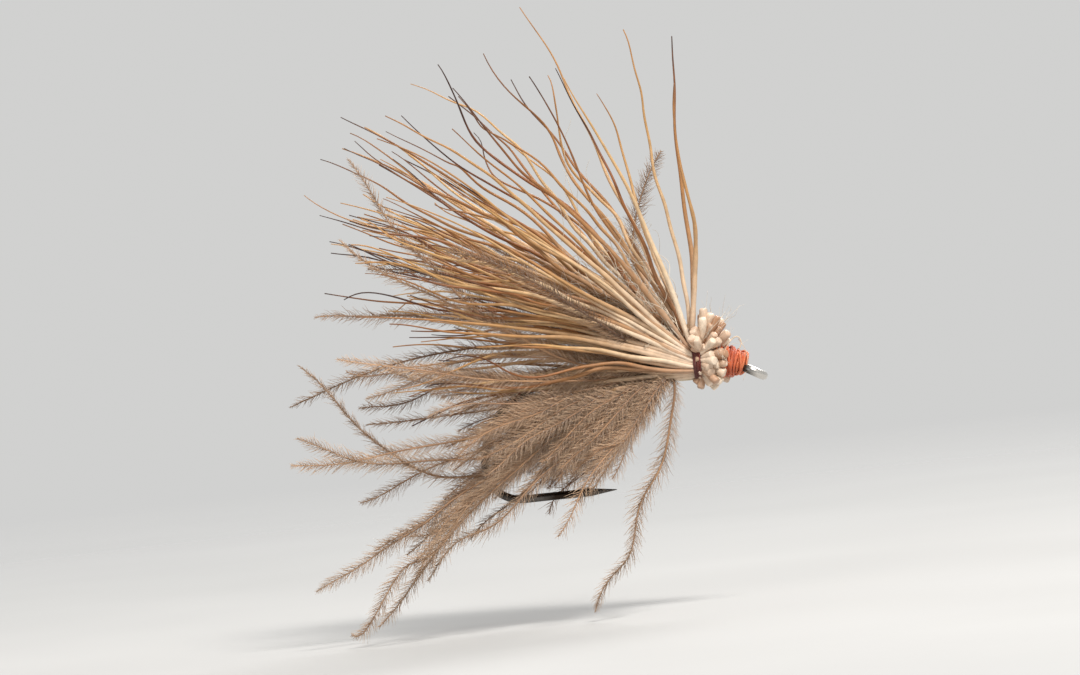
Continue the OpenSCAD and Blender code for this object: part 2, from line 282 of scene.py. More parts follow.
class Nodes:
    """Short names for building one material's node tree."""

    def __init__(self, name):
        self.material = bpy.data.materials.new(name)
        self.material.use_nodes = True
        self.tree = self.material.node_tree
        self.shader = self.tree.nodes["Principled BSDF"]
        self.place = self.new("ShaderNodeTexCoord").outputs["Object"]

    def new(self, kind, **settings):
        node = self.tree.nodes.new(kind)
        for key, value in settings.items():
            setattr(node, key, value)
        return node

    def link(self, a, b):
        self.tree.links.new(a, b)

    def attribute(self, name):
        return self.new("ShaderNodeAttribute", attribute_name=name).outputs["Fac"]

    def noise(self, per_mm, detail, rough=0.55, stretch=(1, 1, 1)):
        mapping = self.new("ShaderNodeMapping")
        mapping.inputs["Scale"].default_value = [per_mm / MM * s for s in stretch]
        self.link(self.place, mapping.inputs["Vector"])
        noise = self.new("ShaderNodeTexNoise")
        noise.inputs["Scale"].default_value = 1
        noise.inputs["Detail"].default_value = detail
        noise.inputs["Roughness"].default_value = rough
        self.link(mapping.outputs["Vector"], noise.inputs["Vector"])
        return noise.outputs["Fac"]

    def varied(self, per_mm, detail, low, high):
        """A value that wanders between low and high over the surface."""
        return self.span(self.noise(per_mm, detail), *NOISE_SPAN, low, high)

    def ramp(self, fac, stops):
        node = self.new("ShaderNodeValToRGB")
        marks = node.color_ramp.elements
        while len(marks) < len(stops):
            marks.new(0.5)
        for mark, (at, colour) in zip(marks, stops):
            mark.position = at
            mark.color = colour
        self.link(fac, node.inputs["Fac"])
        return node.outputs["Color"]

    def span(self, value, low, high, to_low, to_high):
        node = self.new("ShaderNodeMapRange")
        ends = {"From Min": low, "From Max": high, "To Min": to_low, "To Max": to_high}
        for key, number in ends.items():
            node.inputs[key].default_value = number
        self.link(value, node.inputs["Value"])
        return node.outputs["Result"]

    def maths(self, how, a, b):
        node = self.new("ShaderNodeMath", operation=how)
        for socket, value in zip(node.inputs, (a, b)):
            if isinstance(value, (int, float)):
                socket.default_value = value
            else:
                self.link(value, socket)
        return node.outputs["Value"]

    def scaled(self, colour, by):
        """A colour multiplied by a value."""
        node = self.new("ShaderNodeVectorMath", operation="SCALE")
        self.link(colour, node.inputs[0])
        self.link(by, node.inputs["Scale"])
        return node.outputs["Vector"]

    def mixed(self, fac, a, b, how="MIX"):
        node = self.new("ShaderNodeMix", data_type="RGBA", blend_type=how)
        factor, first, second = (node.inputs[k] for k in (0, 6, 7))
        for socket, value in ((factor, fac), (first, a), (second, b)):
            if isinstance(value, (int, float, tuple)):
                socket.default_value = value
            else:
                self.link(value, socket)
        return node.outputs[2]

    def bump(self, height, distance_mm, strength):
        node = self.new("ShaderNodeBump")
        node.inputs["Strength"].default_value = strength
        node.inputs["Distance"].default_value = distance_mm * MM
        self.link(height, node.inputs["Height"])
        self.link(node.outputs["Normal"], self.shader.inputs["Normal"])

    def finish(self, colour, roughness, **constants):
        self.link(colour, self.shader.inputs["Base Color"])
        self.link(roughness, self.shader.inputs["Roughness"])
        for key, value in constants.items():
            self.shader.inputs[key.replace("_", " ")].default_value = value
        return self.material


def hair_material():
    """Deer hair: ivory where it is gripped, golden tan along its length, brown towards the tip."""
    m = Nodes("deer_hair")
    along, tone = m.attribute("along"), m.attribute("tone")
    wander = m.varied(0.9, 2, -0.05, 0.05)
    shift = m.span(tone, 0, 1, -0.34, 0.18)
    place = m.maths("ADD", m.maths("ADD", along, wander), m.maths("MULTIPLY", shift, along))
    colour = m.ramp(place, [
        (0.0, srgb(236, 218, 197)), (0.14, srgb(228, 207, 180)), (0.32, srgb(212, 181, 141)),
        (0.54, srgb(198, 157, 102)), (0.74, srgb(180, 132, 78)), (0.9, srgb(140, 96, 54)),
        (1.0, srgb(78, 50, 32))])
    tint = m.mixed(tone, srgb(255, 254, 252), srgb(186, 152, 128))
    tinted = m.mixed(1.0, colour, tint, "MULTIPLY")
    streaks = m.varied(2.2, 3, 0.82, 1.1)
    roughness = m.maths("ADD", m.varied(3, 2, 0.38, 0.5), m.maths("MULTIPLY", along, 0.2))
    m.bump(m.noise(3, 1), 0.004, 0.15)
    return m.finish(m.scaled(tinted, streaks), roughness,
                    Specular_IOR_Level=0.45, Sheen_Weight=0.05, Coat_Weight=0.1, Coat_Roughness=0.4)


def fibre_material(name, stops, rough=(0.62, 0.85), sheen=0.35):
    """Soft matt fibre whose colour runs from root to tip."""
    m = Nodes(name)
    colour = m.ramp(m.attribute("along"), stops)
    each = m.span(m.attribute("tone"), 0, 1, 0.75, 1.2)
    patches = m.varied(0.55, 3, 0.82, 1.15)
    m.bump(m.noise(14, 2), 0.006, 0.5)
    return m.finish(m.scaled(m.scaled(colour, each), patches), m.varied(2, 2, *rough),
                    Sheen_Weight=sheen, Sheen_Roughness=0.4, Specular_IOR_Level=0.35)


def thread_material(name, dark, mid, lit):
    """Waxed tying thread: fine twisted filaments, and colour that varies from turn to turn, partly the thread's
    own and partly painted shade and highlight.
    """
    m = Nodes(name)
    blend = m.maths("ADD", m.maths("MULTIPLY", m.attribute("tone"), 0.55),
                    m.maths("MULTIPLY", m.noise(2.4, 3), 0.45))
    # dark and lit are the thread in shade and in light: painted shade and painted highlight, scattered at
    # random over the turns
    colour = m.ramp(blend, [(0.15, dark), (0.5, mid), (0.85, lit)])
    twist = m.new("ShaderNodeTexWave", wave_type="BANDS", bands_direction="X")
    twist.inputs["Scale"].default_value = 5
    twist.inputs["Distortion"].default_value = 1.5
    stripes = m.new("ShaderNodeCombineXYZ")
    m.link(m.attribute("along"), stripes.inputs["X"])
    m.link(stripes.outputs["Vector"], twist.inputs["Vector"])
    filaments = m.maths("ADD", m.maths("MULTIPLY", twist.outputs["Fac"], 0.6),
                        m.noise(22, 2, 0.6, (0.25, 1, 1)))
    m.bump(filaments, 0.016, 0.8)
    return m.finish(m.scaled(colour, m.span(filaments, 0.2, 1.3, 0.8, 1.1)), m.varied(6, 2, 0.34, 0.56),
                    Specular_IOR_Level=0.5, Sheen_Weight=0.15)


def wire_material():
    """Bronzed hook wire, worn in places, with a painted glint: the wire is coloured bright steel towards the
    eye.
    """
    m = Nodes("hook_wire")
    worn = m.maths("MULTIPLY", m.span(m.noise(0.8, 3), 0.35, 0.75, 0, 1), 0.22)
    axes = m.new("ShaderNodeSeparateXYZ")
    m.link(m.place, axes.inputs[0])
    # painted highlight: the colour turns to bright steel towards the eye, standing for the glint there; the
    # random worn patches share the same pale colour
    painted_eye_glint = m.span(axes.outputs["X"], -0.5 * MM, 0.2 * MM, 0, 1)
    colour = m.mixed(m.maths("MAXIMUM", worn, painted_eye_glint), srgb(46, 38, 32), srgb(208, 204, 198))
    m.bump(m.noise(10, 2, 0.6, (0.2, 1, 1)), 0.002, 0.15)
    return m.finish(colour, m.varied(3, 2, 0.22, 0.34), Metallic=1.0)


HAIR = hair_material()
CDC = fibre_material("cdc_feather", [
    (0.0, srgb(116, 86, 62)), (0.3, srgb(164, 128, 95)), (0.5, srgb(154, 121, 93)), (1.0, srgb(200, 170, 141))])
# painted shade: a darker copy of the feather, used on the far side, under the wing and for the wound body
CDC_PAINTED_SHADE = fibre_material("cdc_feather_shaded", [
    (0.0, srgb(94, 67, 48)), (0.4, srgb(132, 100, 75)), (1.0, srgb(168, 137, 109))])
FUR = fibre_material("underfur", [
    (0.0, srgb(226, 212, 192)), (0.5, srgb(212, 198, 178)), (1.0, srgb(196, 182, 162))], sheen=0.5)
QUILL = fibre_material("quill", [(0.0, srgb(214, 196, 164)), (1.0, srgb(188, 164, 128))], (0.35, 0.5), 0.1)
# each thread's dark and lit colours are painted shade and painted highlight
LASHING = thread_material("thread_dark", srgb(58, 16, 10), srgb(98, 32, 20), srgb(138, 52, 30))
HEAD = thread_material("thread_head", srgb(128, 40, 18), srgb(200, 92, 48), srgb(232, 140, 88))
WIRE = wire_material()


# ---------- deer hair ----------

HAIR_RINGS = 66
HAIR_SIDES = 8
WAIST_KNOT = 3                  # a CAD hair's fourth ring is where the thread grips it
WAIST_R = 0.085                 # a hair under the thread
FULL_R = (0.12, 0.17)           # a hair at its thickest
TIP_R = (0.02, 0.034)
SWAY_WAVES = (2, 8, 18)         # how many, and the shortest and longest in millimetres
CRIMP_WAVES = (2, 3, 6)
SWELL_END = 0.16                # share of its length over which a hair swells from the thread
BUTT_STRETCH = np.array([1.15, 0.6, 1.04])  # the visible tuft against the CAD's
BUTT_SPLAY = 0.15
BUTT_STEPS = np.array([1.0, 0.985, 0.94, 0.86, 0.74, 0.6, 0.46, 0.33, 0.21, 0.1])  # from the cut end
BUTT_ROUNDING = (0.62, 0.86, 0.97)          # of the first rings at the cut end
BACKSWEPT = 0.3                 # share of the butts that lean back over the lashing
NEAR_HALF = 0.2                 # only hairs nearer than this along Y lean back
WAIST_TO_TUFT_FRONT = 1.75
BUTT_R = (0.21, 0.285)          # a whole butt, which swells once it is free of the thread
BUTT_CUT = (0.74, 1.0)          # its length against the CAD's
SHORT_BUTT_R = 0.15             # a butt cut off inside the tuft
SHORT_CUT = (0.3, 0.55)
FILLER_BUTTS = 0.4              # how much rarer whole butts are among the added hairs


def hair_butt(path, cut):
    """The clipped butt of a CAD hair as a curve from its cut end to the thread, in millimetres."""
    grip = path[WAIST_KNOT]
    reach = (path[0] - grip) * BUTT_STRETCH * cut
    reach += BUTT_SPLAY * np.linalg.norm(reach) * RNG.normal(0, 1, 3)
    if RNG.random() < BACKSWEPT and grip[1] < NEAR_HALF:
        reach[0] = -RNG.uniform(0.1, 0.45)
    reach[0] = min(reach[0], WAIST_TO_TUFT_FRONT)
    t = BUTT_STEPS[:, None]
    bulge = t * (1 - t) * np.linalg.norm(reach) * np.array([0.18, 0, 0])
    return grip + reach * t + bulge


def hair_strand(path, butt_r, full_r, tip_r, sway, crimp, cut, scatter):
    """Resamples a CAD hair: (points, radii, along), with a rounded clipped butt."""
    front = hair_butt(path, cut)
    knots = chord(path[WAIST_KNOT:])
    length = knots[-1]
    t = np.linspace(0, 1, HAIR_RINGS - len(front)) ** 1.12
    where = length * t
    back = spline(knots, path[WAIST_KNOT:], where)
    grow = t[:, None]
    back += (sway * grow * waves(where, *SWAY_WAVES)
             + crimp * np.minimum(grow * 4, 1) * waves(where, *CRIMP_WAVES))
    back += length * grow * RNG.normal(0, scatter, 3)
    swell = WAIST_R + (full_r - WAIST_R) * np.sin(np.clip(t / SWELL_END, 0, 1) * math.pi / 2)
    taper = 1 - np.clip((t - SWELL_END) / (1 - SWELL_END), 0, 1) ** 1.15
    back_r = np.where(t < SWELL_END, swell, tip_r + (full_r - tip_r) * taper)
    back_r = back_r * (1 + 0.05 * waves(where, 2, 1.5, 4)[:, 0])
    front_r = WAIST_R + (butt_r - WAIST_R) * np.minimum(BUTT_STEPS * 1.5, 1) ** 0.8
    front_r[:len(BUTT_ROUNDING)] *= BUTT_ROUNDING
    along = np.concatenate([-0.02 * BUTT_STEPS, t])
    return np.concatenate([front, back]), np.concatenate([front_r, back_r]), along


def hair_between(paths):
    """A hair between two neighbours of a CAD bundle, most often shorter than they are."""
    a = RNG.integers(len(paths))
    order = sorted(range(len(paths)), key=lambda k: np.linalg.norm(paths[k][-1] - paths[a][-1]))
    b = order[1 + RNG.integers(min(3, len(paths) - 1))]
    mix = RNG.uniform(0.25, 0.75)
    path = paths[a] * (1 - mix) + paths[b] * mix
    grip = path[WAIST_KNOT].copy()
    path[WAIST_KNOT:] = grip + (path[WAIST_KNOT:] - grip) * RNG.uniform(0.72, 1.02)
    return path


def hair_piece(node, extra, whole_butts, sway, scatter):
    """One visible bundle for a CAD node: its own hairs, and extra ones between neighbours."""
    own = read_strands(node)
    paths = own + [hair_between(own) for _ in range(extra)]
    made = []
    for k, path in enumerate(paths):
        full_r = RNG.uniform(*FULL_R)
        butt_r = RNG.uniform(*BUTT_R)
        cut = RNG.uniform(*BUTT_CUT)
        if RNG.random() > (whole_butts if k < len(own) else whole_butts * FILLER_BUTTS):
            butt_r = SHORT_BUTT_R
            cut = RNG.uniform(*SHORT_CUT)
        tip_r = RNG.uniform(*TIP_R)
        own_sway = sway * RNG.uniform(0.5, 1.3)
        crimp = RNG.uniform(0.01, 0.07)
        made.append(hair_strand(path, butt_r, full_r, tip_r, own_sway, crimp, cut, scatter))
    strand_piece("visual_" + node, made, HAIR_SIDES, HAIR, "deer_hair", node)


# node, extra hairs, share of whole butts, sway in mm, and scatter as a share of the length
for hair_bundle in (
        ("wing_hair_upright", 0, 1.0, 0.45, 0.02),
        ("wing_hair_upper_near", 0, 0.9, 0.6, 0.03),
        ("wing_hair_upper_far", 0, 0.9, 0.6, 0.03),
        ("wing_hair_mid_near", 30, 0.55, 0.42, 0.036),
        ("wing_hair_mid_far", 28, 0.55, 0.42, 0.036),
        ("wing_hair_low_near", 4, 0.9, 0.4, 0.025),
        ("wing_hair_low_far", 4, 0.9, 0.4, 0.025)):
    hair_piece(*hair_bundle)


# ---------- feather ----------

BARB_RINGS = 30
BARB_SIDES = 6
BARB_TIP_R = 0.028
NEIGHBOUR_TIPS = 7              # no barb is added between two whose tips are further apart
BARBULE_R = 0.0175
BARBULE_SIDES = 3
BARBULE_LEAN = (38, 66)         # degrees between a barbule and its barb
TANGENT_REACH = 0.2             # how far each way along a barb its direction is taken from
COMB = "comb"                   # a barb that hangs free, with its full fringe
DOWN = "down"                   # a shorter, finer barb in the mass under the shank
# root radius, range of length against its neighbours, rings in a barbule, and how far up the colours it runs
BARB_KINDS = {
    COMB: (0.092, (0.6, 0.95), 5, 0.75),
    DOWN: (0.055, (0.65, 1.35), 4, 0.35)}


def barb_between(paths, k, grow, spread):
    """A barb between the k-th one of a CAD node and a neighbour, or None where that is too far off."""
    a = paths[k % len(paths)]
    order = sorted(range(len(paths)), key=lambda q: np.linalg.norm(paths[q][-1] - a[-1]))
    b = paths[order[1 + RNG.integers(2)]]
    if np.linalg.norm(b[-1] - a[-1]) > NEIGHBOUR_TIPS:
        return None
    mix = RNG.uniform(0.2, 0.8)
    path = a * (1 - mix) + b * mix
    path = path[0] + (path - path[0]) * RNG.uniform(*grow)
    return path + np.linspace(0, 1, len(path))[:, None] * RNG.normal(0, spread, 3)


def barb_strand(path, root_r, sway):
    """Resamples a CAD barb as (points, radii, along)."""
    knots = chord(path)
    where = knots[-1] * np.linspace(0, 1, BARB_RINGS)
    t = where / knots[-1]
    points = spline(knots, path, where)
    points += sway * t[:, None] ** 1.2 * waves(where, 2, 5, 11)
    return points, BARB_TIP_R + (root_r - BARB_TIP_R) * (1 - t) ** 0.8, t


def barbule_feet(path, at):
    """Points at distances along a barb, and the barb's direction at each."""
    knots = chord(path)

    def point(where):
        return np.stack([np.interp(where, knots, path[:, c]) for c in range(3)], -1)

    ahead, behind = np.minimum(at + TANGENT_REACH, knots[-1]), at - TANGENT_REACH
    return point(at), unit(point(ahead) - point(behind))


def barbules_of(path, side, twist, drift, spacing, length, steps):
    """The barbules on one side of a barb, swept towards its tip, as points (count, rings, 3)."""
    total = chord(path)[-1]
    count = max(4, int(total / spacing))
    at = total * (np.arange(count) + RNG.uniform(-0.4, 0.4, count) + 0.5) / count
    at = np.clip(at, 0.01, total * 0.998)
    foot, tangent = barbule_feet(path, at)
    across = unit(np.cross(tangent, [0, 1.0, 0]))
    out = np.cross(across, tangent)
    round_barb = side + twist + drift * at * 0.3 + RNG.normal(0, 0.5, count)
    sideways = np.cos(round_barb)[:, None] * across + np.sin(round_barb)[:, None] * out
    lean = np.radians(RNG.uniform(*BARBULE_LEAN, count))[:, None]
    direction = np.cos(lean) * tangent + np.sin(lean) * sideways
    t = at / total
    middle_longer = 0.72 + 0.5 * np.sin(math.pi * np.clip(t * 0.9 + 0.08, 0, 1))
    size = length * RNG.uniform(0.6, 1.15, count) * middle_longer
    size *= np.clip((1.02 - t) / 0.08, 0.35, 1)
    curl = RNG.normal(0, 0.11, (count, 1, 3)) + np.array([0, 0, -0.05])
    reach = size[:, None, None]
    strand = foot[:, None] + reach * (steps * direction[:, None] + 0.28 * steps ** 2 * tangent[:, None]
                                      + steps ** 2 * curl)
    ripple = np.sin(steps * RNG.uniform(4, 9, (count, 1, 1)) + 6 * RNG.random((count, 1, 1)))
    return strand + reach * 0.035 * ripple


def barbules(batch, paths, spacing, length, tones, base_r, rings):
    """Fine barbules on both sides of each barb. paths (S, n, 3)."""
    steps = np.linspace(0, 1, rings)[None, :, None]
    thinning = 1 - 0.5 * steps[..., 0] - 0.24 * steps[..., 0] ** 3
    made = []
    for path, tone in zip(paths, tones):
        twist = 0.35 * math.sin(RNG.uniform(0, math.pi))
        drift = RNG.uniform(-0.25, 0.25)
        for side in (0, math.pi):
            strand = barbules_of(path, side, twist, drift, spacing, length, steps)
            count = len(strand)
            radii = base_r * RNG.uniform(0.75, 1.2, (count, 1)) * thinning
            along = np.broadcast_to(0.45 + 0.55 * steps[..., 0], (count, rings))
            made.append((strand, radii, along, np.clip(tone + RNG.normal(0, 0.18, count), 0, 1)))
    batch.tubes(*(np.concatenate(x) for x in zip(*made)), BARBULE_SIDES)


def barb_piece(node, kind, extra, spacing, length, material, spread):
    """One visible bunch for a CAD node: its own barbs and extra ones between neighbours, with barbules."""
    root_r, grow, rings, stem_colours = BARB_KINDS[kind]
    own = read_strands(node)
    added = [barb_between(own, k, grow, spread) for k in range(extra)]
    made = []
    for path in own + [path for path in added if path is not None]:
        this_root_r = root_r * RNG.uniform(0.8, 1.1)
        made.append(barb_strand(path, this_root_r, RNG.uniform(0.15, 0.4)))
    points, radii, along = (np.array(x) for x in zip(*made))
    tones = RNG.random(len(made))
    batch = Batch()
    batch.tubes(points, radii, along * stem_colours, tones, BARB_SIDES)
    barbules(batch, points, spacing, length, tones, BARBULE_R, rings)
    batch.piece("visual_" + node, material, "cdc_feather", node)


# node, kind, extra barbs, barbule spacing and length in mm, material, and how loosely the extra ones lie
for barb_bunch in (
        ("cdc_barbs_near_trailing", COMB, 2, 0.058, 0.72, CDC, 0.5),
        ("cdc_barbs_near_drooping", COMB, 2, 0.055, 0.74, CDC, 0.5),
        ("cdc_barbs_far_trailing", COMB, 4, 0.065, 0.74, CDC_PAINTED_SHADE, 0.6),
        ("cdc_barbs_far_drooping", COMB, 3, 0.065, 0.74, CDC_PAINTED_SHADE, 0.6),
        ("cdc_barbs_over_wing", COMB, 0, 0.045, 0.78, CDC_PAINTED_SHADE, 0.4),
        ("cdc_skirt_near", DOWN, 26, 0.085, 0.74, CDC, 0.9),
        ("cdc_skirt_far", DOWN, 26, 0.09, 0.74, CDC_PAINTED_SHADE, 0.9)):
    barb_piece(*barb_bunch)


# ---------- underfur ----------

FUR_EXTRA = 150
FUR_RINGS = 40
FUR_R = 0.03


def underfur():
    """Fine curly fibres between the CAD's tufts at the foot of the wing."""
    own = read_strands("wing_underfur")
    paths = list(own)
    for _ in range(FUR_EXTRA):
        a, b = RNG.integers(len(own), size=2)
        mix = RNG.uniform(0, 1)
        path = own[a] * (1 - mix) + own[b] * mix
        paths.append(path[0] + (path - path[0]) * RNG.uniform(0.5, 1.15))
    made = []
    for path in paths:
        knots = chord(path)
        where = knots[-1] * np.linspace(0, 1, FUR_RINGS)
        t = where / knots[-1]
        points = spline(knots, path, where)
        grow = t[:, None]
        points += (0.1 + 0.25 * grow) * waves(where, 2, 1.4, 3.2) + 0.5 * grow * waves(where, 1, 5, 9)
        made.append((points, FUR_R * (1 - 0.7 * t), t))
    strand_piece("visual_wing_underfur", made, 5, FUR, "underfur", "wing_underfur")


underfur()


# ---------- thread ----------

THREAD_SIDES = 8
STEPS_PER_TURN = 30
FILAMENTS_PER_MM = 2.2
SHANK_Z = mid_box("thread_base")[2][2]


def coil(batch, start, end, turns, passes, radius, centre_z, thread_r, loose, lean, bump=0.0, place=level):
    """Thread wound along X from start to end and back, passes times, on the surface that radius(x) gives.

    lean tilts the turns and bump lifts them, both by fresh amounts from turn to turn; loose sways them slowly.
    """
    count = int(turns * passes)
    steps = int(turns * passes * STEPS_PER_TURN)
    theta = np.linspace(0, TURN * turns * passes, steps)
    run = np.linspace(0, passes, steps)
    xs = start + (end - start) * np.abs((run + 1) % 2 - 1)
    slow = np.interp(theta, np.linspace(0, theta[-1], count + 2), RNG.normal(0, 1, count + 2))
    xs = np.clip(xs + lean * slow * np.cos(theta + 1.3) + loose * np.sin(theta * 0.37), start, end)
    layer = np.minimum(run, passes) // 1
    rho = np.array([radius(x) for x in xs]) + thread_r + layer * thread_r * 0.9
    rho = rho + bump * slow * np.sin(theta + 0.7)
    path = np.stack([xs, rho * np.sin(theta), centre_z + rho * np.cos(theta)], -1)
    along = theta * radius((start + end) / 2) * FILAMENTS_PER_MM
    tone = 0.5 + 0.3 * np.sin(theta * 0.11 + RNG.uniform(0, 6))
    batch.tubes(place(path)[None], np.full((1, steps), thread_r), along[None], tone[None], THREAD_SIDES)


def plain_winding(node, passes):
    """A level winding on the shank, hidden under the feather and the hair."""
    low, high, middle = mid_box(node)
    thread_r = 0.045
    surface = (high[2] - low[2]) / 2 - 0.08
    turns = max(3, int((high[0] - low[0]) / 0.13))
    batch = Batch()
    coil(batch, low[0] + 0.05, high[0] - 0.05, turns, passes, lambda x: surface, middle[2], thread_r,
         loose=0.01, lean=0.015)
    batch.core(np.linspace(low[0] + 0.03, high[0] - 0.03, 24), np.full(24, surface + 0.02), middle[2])
    batch.piece("visual_" + node, LASHING, "thread_dark", node)


plain_winding("thread_base", 1)
plain_winding("rear_tie_in", 3)
plain_winding("cdc_tie_off", 3)


def lashing():
    """The dark band that binds the wing, pinched in at its middle."""
    low, high, middle = mid_box("wing_lashing")
    start, end = low[0] + 0.1, high[0] - 0.1
    inner = (high[2] - low[2]) / 2 - 0.24

    def grip(x):
        return inner - 0.05 * math.cos((x - middle[0]) / 0.3 * math.pi / 2)

    batch = Batch()
    coil(batch, start, end, 4, 3, grip, middle[2], 0.052, loose=0.02, lean=0.06, bump=0.015)
    batch.core(np.linspace(start, end, 16), np.full(16, inner + 0.01), middle[2], 48)
    batch.piece("visual_wing_lashing", LASHING, "thread_dark", "wing_lashing")


lashing()


def head():
    """The lumpy thread head, built up in crossing passes. It sits a little above the shank."""
    low, high, middle = mid_box("head_wraps")
    start, end = low[0] - 0.1, high[0] + 0.02
    back_r, front_r = 0.64, 0.56
    centre_z = middle[2] + 0.1

    def cone(x):
        s = (x - start) / (end - start)
        return back_r + (front_r - back_r) * s - 0.06 * math.cos(s * 7.5 + 0.4)

    batch = Batch()
    coil(batch, start, end, 3.2, 5, cone, centre_z, 0.085, loose=0.1, lean=0.42, bump=0.09)
    xs = np.linspace(start, end, 14)
    batch.core(xs, [cone(x) + 0.07 for x in xs], centre_z, 40)
    batch.piece("visual_head_wraps", HEAD, "thread_head", "head_wraps")


head()


def whip():
    """The whip finish, tilted half way from the shank towards the eye."""
    start_x = mid_box("head_wraps")[1][0] - 0.12
    half_slope = math.radians(15)
    length = 1.12
    above = 0.2

    def place(path):
        x, y, z = path[..., 0], path[..., 1], path[..., 2]
        return np.stack([start_x + x * math.cos(half_slope) + z * math.sin(half_slope), y,
                         SHANK_Z - x * math.sin(half_slope) + z * math.cos(half_slope)], -1)

    def cone(x):
        s = np.clip(x / length, 0, 1)
        return 0.57 - 0.1 * s - 0.18 * s ** 4 + 0.03 * math.sin(s * 7)

    batch = Batch()
    coil(batch, 0.0, length, 4.3, 4, cone, above, 0.072, loose=0.06, lean=0.3, bump=0.07, place=place)
    xs = np.linspace(0.0, length, 12)
    batch.core(xs, [cone(x) + 0.065 for x in xs], above, 36, place=place)
    batch.piece("visual_whip_finish", HEAD, "thread_head", "whip_finish")


whip()


# ---------- wound feather body ----------

BODY_TURNS = 11
BODY_STEPS_PER_TURN = 60
BODY_STRANDS = 3                # barbs twisted together into the rope that is wound
ROPE_R = 0.2
ROPE_TO_CAD = 0.8 / 0.86        # the wound rope's outside against the CAD body's


def body():
    """The twisted feather wound along the shank, with barbules standing out of it."""
    low, high, middle = mid_box("cdc_body")
    fattest = (high[2] - low[2]) / 2

    def surface(x):
        s = (x - low[0]) / (high[0] - low[0])
        return fattest * ROPE_TO_CAD * (0.62 + 0.38 * math.sin(math.radians(200 * s)))

    steps = BODY_TURNS * BODY_STEPS_PER_TURN
    theta = np.linspace(0, TURN * BODY_TURNS, steps)
    xs = low[0] + ROPE_R + (high[0] - low[0] - 2 * ROPE_R) * theta / theta[-1]
    rho = np.array([surface(x) for x in xs]) - ROPE_R
    rope = np.stack([xs, rho * np.sin(theta), middle[2] + rho * np.cos(theta)], -1)
    tangent = unit(np.gradient(rope, axis=0))
    outward = unit(np.stack([np.zeros(steps), np.sin(theta), np.cos(theta)], -1))
    sideways = np.cross(tangent, outward)
    batch = Batch()
    for k in range(BODY_STRANDS):
        spin = (theta * 2.4 + TURN * k / BODY_STRANDS)[:, None]
        path = rope + 0.13 * (np.cos(spin) * outward + np.sin(spin) * sideways)
        radii = 0.15 + 0.02 * np.sin(theta * 3.1 + k)
        batch.tubes(path[None], radii[None], np.full((1, steps), 0.2 + 0.2 * k), [0.3 + 0.2 * k], 8)
    xs = np.linspace(low[0] + 0.05, high[0] - 0.05, 40)
    batch.core(xs, [surface(x) - ROPE_R for x in xs], middle[2], 24, along=0.1)
    barbules(batch, (rope + ROPE_R * outward)[None], 0.07, 0.75, [0.5], 0.02, 5)
    batch.piece("visual_cdc_body", CDC_PAINTED_SHADE, "cdc_feather", "cdc_body")


body()


def stem():
    """The feather's trimmed quill, lying along the underside of the shank."""
    low, high, middle = mid_box("cdc_stem")
    rings = 24
    xs = np.linspace(low[0], high[0], rings)
    path = np.stack([xs, 0.03 * np.sin(xs * 1.7), middle[2] + 0.02 * np.sin(xs * 2.3)], -1)
    radii = np.linspace(0.11, 0.085, rings)
    radii[0], radii[-1] = 0.07, 0.05
    batch = Batch()
    batch.tubes(path[None], radii[None], np.linspace(0, 1, rings)[None], [0.5], 10)
    batch.piece("visual_cdc_stem", QUILL, "cdc_feather", "cdc_stem")


stem()


# ---------- stray fibres ----------

LOOP_OVER_HEAD = np.array([
    [-1.9, -0.75, 1.1], [-1.5, -0.72, 1.45], [-1.05, -0.55, 1.98],
    [-0.72, -0.5, 2.08], [-0.54, -0.48, 1.74], [-0.72, -0.45, 1.35]])
FIBRE_IN_FRONT = np.array([
    [-0.7, -0.4, 1.95], [-0.48, -0.5, 1.6], [-0.3, -0.6, 1.05],
    [-0.36, -0.66, 0.25], [-0.52, -0.7, -0.15], [-0.66, -0.72, -0.45]])
FUZZ, FUZZ_RINGS, FUZZ_R = 60, 14, 0.014
WISPS, WISP_RINGS, WISP_R = 24, 26, 0.021


def head_fibres():
    """A hair looped over the head, and a finer one that hangs in front of it."""
    batch = Batch()
    t = np.linspace(0, 1, 30)
    for path, radius, tone in ((LOOP_OVER_HEAD, 0.05, 0.2), (FIBRE_IN_FRONT, 0.018, 0.4)):
        knots = chord(path)
        points = spline(knots, path, knots[-1] * t)
        batch.tubes(points[None], (radius * (1 - 0.5 * t))[None], (0.05 + 0.1 * t)[None], [tone], 8)
    batch.piece("stray_fibres", HAIR, "deer_hair")


def tuft_fuzz():
    """Fine fibres that stand out of the clipped tuft."""
    made = []
    t = np.linspace(0, 1, FUZZ_RINGS)
    for _ in range(FUZZ):
        angle = RNG.uniform(-1.5, 1.5)
        ring = RNG.uniform(1.3, 2.3)
        foot = np.array([RNG.uniform(-2.7, -1.6), ring * math.sin(angle), 0.9 + ring * math.cos(angle)])
        away = np.array([RNG.uniform(-0.4, 0.9), math.sin(angle), math.cos(angle)])
        away = unit(away + RNG.normal(0, 0.3, 3))
        where = RNG.uniform(0.8, 2.2) * t
        path = foot + away * where[:, None] + 0.12 * waves(where, 2, 1.0, 2.4) * t[:, None]
        made.append((path, FUZZ_R * (1 - 0.6 * t), t))
    strand_piece("tuft_fuzz", made, 4, FUR, "underfur")


